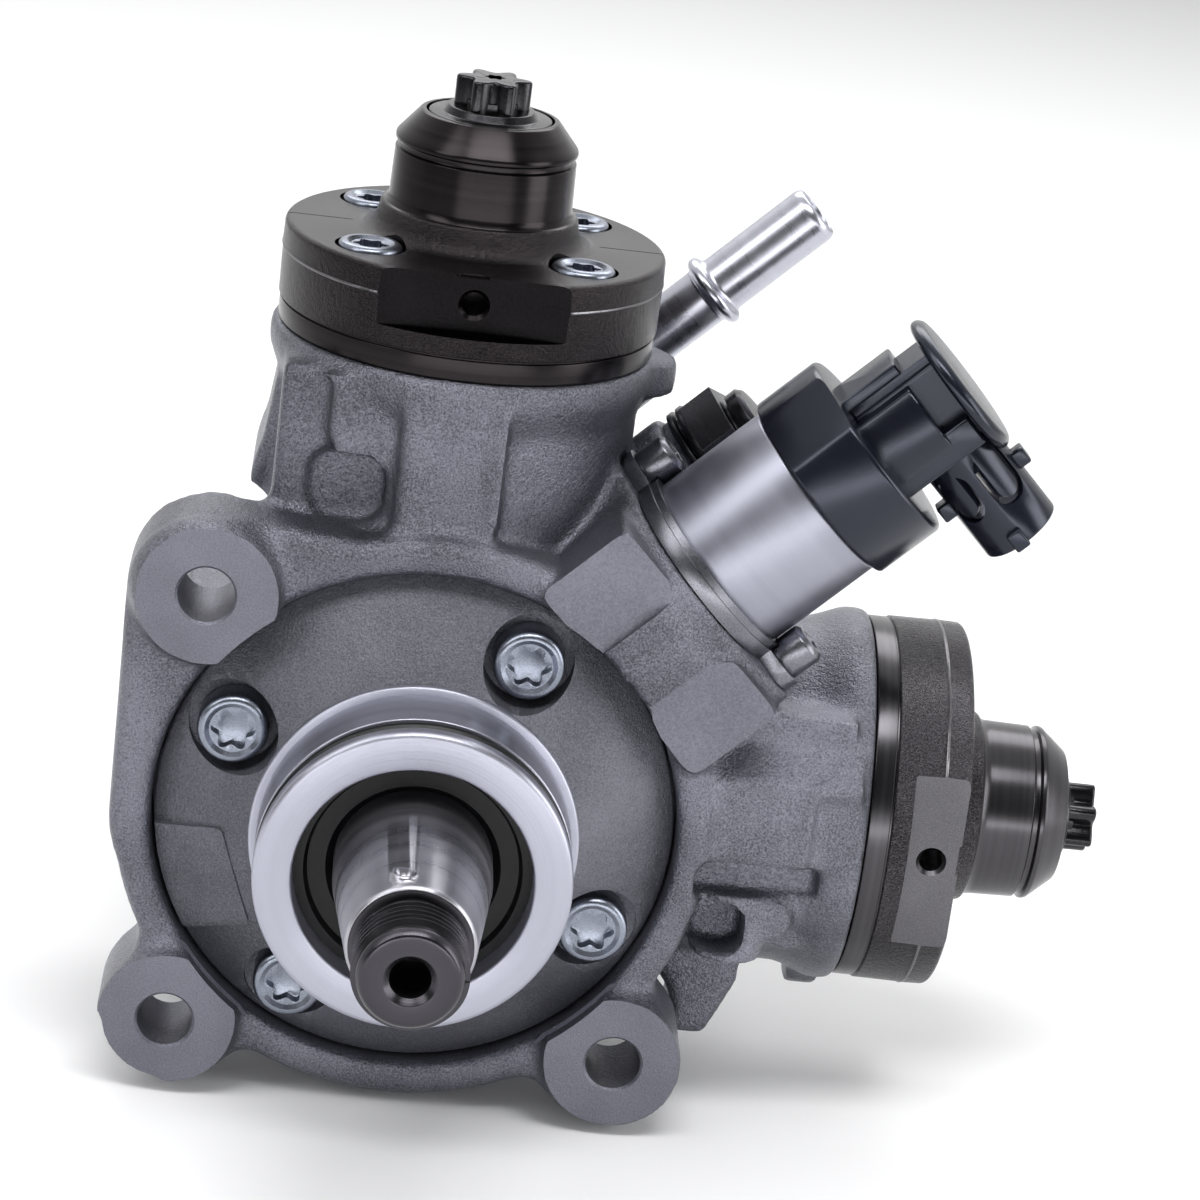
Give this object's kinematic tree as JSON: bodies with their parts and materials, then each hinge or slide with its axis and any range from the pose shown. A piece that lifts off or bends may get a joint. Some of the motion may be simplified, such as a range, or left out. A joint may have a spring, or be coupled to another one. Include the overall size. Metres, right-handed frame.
{
  "type": "diesel injection pump",
  "caption": "High-pressure diesel pump: cast casing with lugs, tapered drive shaft, two round cylinder heads at right angles, and an electric metering valve between them.",
  "frame": {"origin": "where the drive shaft's axis meets the plane of the three lug faces", "axes": "+Y along the drive shaft from its threaded end into the pump, +Z along the upper cylinder, +X along the side cylinder"},
  "size_m": [0.1653, 0.141, 0.1653],
  "materials": {
    "cast_aluminium": "matte",
    "machined_aluminium": "satin",
    "blackened_steel": "satin",
    "shaft_steel": "satin",
    "zinc_plated_steel": "satin",
    "hardened_steel": "polished",
    "spring_steel": "satin",
    "bearing_bronze": "satin",
    "black_plastic": "matte",
    "seal_rubber": "matte",
    "terminal_metal": "satin"
  },
  "bodies": {
    "pump_body": {"pump_housing": "cast_aluminium", "front_flange": "machined_aluminium", "flange_screws": "zinc_plated_steel", "flange_body_seal": "seal_rubber", "pilot_o_ring": "seal_rubber", "shaft_seal": "seal_rubber", "front_bush": "bearing_bronze", "rear_bush": "bearing_bronze", "thrust_washers": "bearing_bronze", "metering_valve_body": "zinc_plated_steel", "metering_valve_seals": "seal_rubber", "metering_spring": "spring_steel", "metering_valve_flange": "machined_aluminium", "metering_valve_screws": "zinc_plated_steel", "metering_valve_connector": "black_plastic", "connector_terminals": "terminal_metal", "overflow_valve_body": "zinc_plated_steel", "overflow_valve_seal": "machined_aluminium", "overflow_spring": "spring_steel", "inlet_nipple": "zinc_plated_steel", "upper_cylinder_head": "blackened_steel", "upper_head_screws": "zinc_plated_steel", "upper_head_seal": "seal_rubber", "upper_valve_plug": "blackened_steel", "upper_inlet_valve_seat": "hardened_steel", "upper_inlet_valve_spring": "spring_steel", "upper_outlet_spring": "spring_steel", "upper_outlet_union": "zinc_plated_steel", "upper_plunger_spring": "spring_steel", "side_cylinder_head": "blackened_steel", "side_head_screws": "zinc_plated_steel", "side_head_seal": "seal_rubber", "side_valve_plug": "blackened_steel", "side_inlet_valve_seat": "hardened_steel", "side_inlet_valve_spring": "spring_steel", "side_outlet_spring": "spring_steel", "side_outlet_union": "zinc_plated_steel", "side_plunger_spring": "spring_steel"},
    "shaft": {"drive_shaft": "shaft_steel"},
    "upper_plunger_group": {"upper_plunger": "hardened_steel", "upper_spring_plate": "hardened_steel", "upper_tappet": "hardened_steel", "upper_roller_shoe": "bearing_bronze"},
    "upper_roller_body": {"upper_roller": "hardened_steel"},
    "upper_inlet_needle_body": {"upper_inlet_needle": "hardened_steel"},
    "upper_outlet_ball_body": {"upper_outlet_ball": "hardened_steel"},
    "side_plunger_group": {"side_plunger": "hardened_steel", "side_spring_plate": "hardened_steel", "side_tappet": "hardened_steel", "side_roller_shoe": "bearing_bronze"},
    "side_roller_body": {"side_roller": "hardened_steel"},
    "side_inlet_needle_body": {"side_inlet_needle": "hardened_steel"},
    "side_outlet_ball_body": {"side_outlet_ball": "hardened_steel"},
    "metering_spool_body": {"metering_spool": "hardened_steel"},
    "overflow_piston_body": {"overflow_piston": "hardened_steel"}
  },
  "joints": [
    {"name": "shaft_spin", "type": "hinge", "parent": "pump_body", "child": "shaft", "pos_m": [0, 0, 0], "axis": [0, 1, 0], "continuous": true},
    {"name": "upper_tappet_slide", "type": "slide", "parent": "pump_body", "child": "upper_plunger_group", "axis": [0, 0, 1], "range_m": [-0.003, 0], "stiffness_N_per_m": 8000, "deforming": ["upper_plunger_spring"]},
    {"name": "upper_roller_spin", "type": "hinge", "parent": "upper_plunger_group", "child": "upper_roller_body", "pos_m": [0, 0.038, 0.0301], "axis": [0, 1, 0], "continuous": true},
    {"name": "upper_inlet_needle_slide", "type": "slide", "parent": "pump_body", "child": "upper_inlet_needle_body", "axis": [0, 0, 1], "range_m": [-0.0006, 0], "stiffness_N_per_m": 300, "deforming": ["upper_inlet_valve_spring"]},
    {"name": "upper_outlet_ball_lift", "type": "slide", "parent": "pump_body", "child": "upper_outlet_ball_body", "axis": [0, 1, 0], "range_m": [0, 0.0008], "stiffness_N_per_m": 200, "deforming": ["upper_outlet_spring"]},
    {"name": "side_tappet_slide", "type": "slide", "parent": "pump_body", "child": "side_plunger_group", "axis": [1, 0, 0], "range_m": [-0.003, 0], "stiffness_N_per_m": 8000, "deforming": ["side_plunger_spring"]},
    {"name": "side_roller_spin", "type": "hinge", "parent": "side_plunger_group", "child": "side_roller_body", "pos_m": [0.0301, 0.038, 0], "axis": [0, 1, 0], "continuous": true},
    {"name": "side_inlet_needle_slide", "type": "slide", "parent": "pump_body", "child": "side_inlet_needle_body", "axis": [1, 0, 0], "range_m": [-0.0006, 0], "stiffness_N_per_m": 300, "deforming": ["side_inlet_valve_spring"]},
    {"name": "side_outlet_ball_lift", "type": "slide", "parent": "pump_body", "child": "side_outlet_ball_body", "axis": [0, 1, 0], "range_m": [0, 0.0008], "stiffness_N_per_m": 200, "deforming": ["side_outlet_spring"]},
    {"name": "metering_spool_slide", "type": "slide", "parent": "pump_body", "child": "metering_spool_body", "axis": [0.7071, 0, 0.7071], "range_m": [0, 0.002], "stiffness_N_per_m": 400, "deforming": ["metering_spring"]},
    {"name": "overflow_piston_slide", "type": "slide", "parent": "pump_body", "child": "overflow_piston_body", "axis": [0.7071, 0, 0.7071], "range_m": [0, 0.0025], "stiffness_N_per_m": 800, "deforming": ["overflow_spring"]}
  ],
  "couplings": [
    {"joint": "upper_roller_spin", "follows": "shaft_spin", "ratio": -2.4164},
    {"joint": "side_roller_spin", "follows": "shaft_spin", "ratio": -2.4164}
  ]
}
